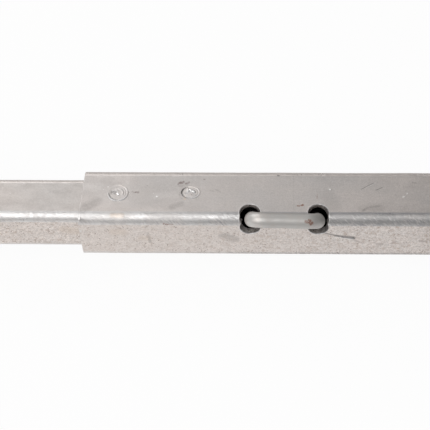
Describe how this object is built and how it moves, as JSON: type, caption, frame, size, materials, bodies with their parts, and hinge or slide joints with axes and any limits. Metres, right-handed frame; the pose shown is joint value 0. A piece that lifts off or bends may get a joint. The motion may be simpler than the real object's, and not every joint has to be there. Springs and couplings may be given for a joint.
{
  "type": "cane bolt",
  "caption": "Square cane bolt: a stepped bar of galvanised tube with a captive lock ring and a cane handle slides in two plate guides to pin a gate leaf to the ground.",
  "frame": {"origin": "middle of the lower guide's four screw holes, on the back face that lies on the gate", "axes": "+X along the bar from its nose to its handle end (up the gate when fitted), +Z out of the gate's face, -Y towards the side whose front corner carries the lock ring"},
  "size_m": [0.6771, 0.095, 0.1346],
  "materials": {
    "tube_zinc": "hot-dip galvanised square tube, matt grey with a fine mottle, rubbed brighter on its corners",
    "rod_zinc": "hot-dip galvanised round bar, smooth and slightly shiny",
    "guide_zinc": "hot-dip galvanised plate and tube, matt grey",
    "weld_zinc": "weld bead under hot-dip zinc, rippled and a little darker"
  },
  "bodies": {
    "guides": {"lower_guide_plate": "guide_zinc", "lower_guide_collar": "guide_zinc", "lower_guide_welds": "weld_zinc", "upper_guide_plate": "guide_zinc", "upper_guide_collar": "guide_zinc", "upper_guide_welds": "weld_zinc"},
    "bolt": {"body_tube": "tube_zinc", "nose_tube": "tube_zinc", "plug_welds_front": "weld_zinc", "plug_welds_back": "weld_zinc", "nose_cap": "tube_zinc", "nose_cap_weld": "weld_zinc", "top_cap": "guide_zinc", "top_cap_weld": "weld_zinc", "cane_handle": "rod_zinc", "handle_weld": "weld_zinc"},
    "ring": {"lock_ring": "rod_zinc", "ring_weld": "rod_zinc"}
  },
  "joints": [
    {"name": "bolt_slide", "type": "slide", "parent": "guides", "child": "bolt", "axis": [1, 0, 0], "range_m": [-0.14, 0.065]},
    {"name": "ring_pull", "type": "slide", "parent": "bolt", "child": "ring", "axis": [0, -0.6293, 0.7771], "range_m": [0, 0.015]}
  ]
}
